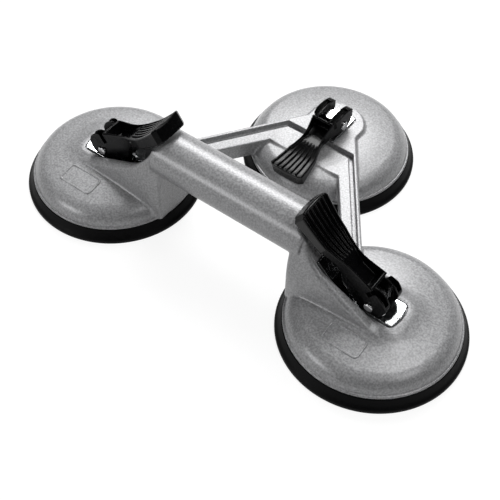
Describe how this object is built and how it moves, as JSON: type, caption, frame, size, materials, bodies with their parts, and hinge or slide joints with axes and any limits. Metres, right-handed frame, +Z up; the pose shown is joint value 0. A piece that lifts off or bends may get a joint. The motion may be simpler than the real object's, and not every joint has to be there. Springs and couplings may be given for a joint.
{
  "type": "suction lifter",
  "caption": "Hand lifter for floor tiles: a cast frame with a bar handle joins domed suction cups, each with a cam lever that pulls its rubber up.",
  "frame": {"origin": "centre of the overall footprint, on the plane the rubber lips stand on", "axes": "+X along the handle, +Y from the handle towards the single rear cup, +Z up"},
  "size_m": [0.3226, 0.223, 0.0819],
  "materials": {
    "casting_paint": "fine speckled silver-grey paint over the casting",
    "black_rubber": "matte",
    "chrome_steel": "polished",
    "bright_steel": "turned and polished",
    "zinc_steel": "zinc plated",
    "black_plastic": "satin",
    "spring_steel": "as drawn"
  },
  "bodies": {
    "frame": {"body_casting": "casting_paint", "left_rubber_cup": "black_rubber", "left_wear_plate": "chrome_steel", "left_return_spring": "spring_steel", "right_rubber_cup": "black_rubber", "right_wear_plate": "chrome_steel", "right_return_spring": "spring_steel", "rear_rubber_cup": "black_rubber", "rear_wear_plate": "chrome_steel", "rear_return_spring": "spring_steel"},
    "left_stud": {"left_draw_stud": "bright_steel", "left_backing_plate": "zinc_steel", "left_pivot_pin": "bright_steel"},
    "left_arm": {"left_lever": "black_plastic"},
    "right_stud": {"right_draw_stud": "bright_steel", "right_backing_plate": "zinc_steel", "right_pivot_pin": "bright_steel"},
    "right_arm": {"right_lever": "black_plastic"},
    "rear_stud": {"rear_draw_stud": "bright_steel", "rear_backing_plate": "zinc_steel", "rear_pivot_pin": "bright_steel"},
    "rear_arm": {"rear_lever": "black_plastic"}
  },
  "joints": [
    {"name": "left_stud_lift", "type": "slide", "parent": "frame", "child": "left_stud", "axis": [0, 0, 1], "range_m": [0, 0.005], "deforming": ["left_return_spring"]},
    {"name": "left_lever_turn", "type": "hinge", "parent": "left_stud", "child": "left_arm", "pos_m": [-0.1023, -0.0525, 0.033], "axis": [0, -1, 0], "range_deg": [0, 90]},
    {"name": "right_stud_lift", "type": "slide", "parent": "frame", "child": "right_stud", "axis": [0, 0, 1], "range_m": [0, 0.005], "deforming": ["right_return_spring"]},
    {"name": "right_lever_turn", "type": "hinge", "parent": "right_stud", "child": "right_arm", "pos_m": [0.1023, -0.0525, 0.033], "axis": [0, 1, 0], "range_deg": [0, 90]},
    {"name": "rear_stud_lift", "type": "slide", "parent": "frame", "child": "rear_stud", "axis": [0, 0, 1], "range_m": [0, 0.005], "deforming": ["rear_return_spring"]},
    {"name": "rear_lever_turn", "type": "hinge", "parent": "rear_stud", "child": "rear_arm", "pos_m": [0, 0.0525, 0.033], "axis": [-1, 0, 0], "range_deg": [0, 90]}
  ],
  "couplings": [
    {"joint": "left_lever_turn", "follows": "left_stud_lift", "rad_per_m": 314},
    {"joint": "right_lever_turn", "follows": "right_stud_lift", "rad_per_m": 314},
    {"joint": "rear_lever_turn", "follows": "rear_stud_lift", "rad_per_m": 314}
  ]
}
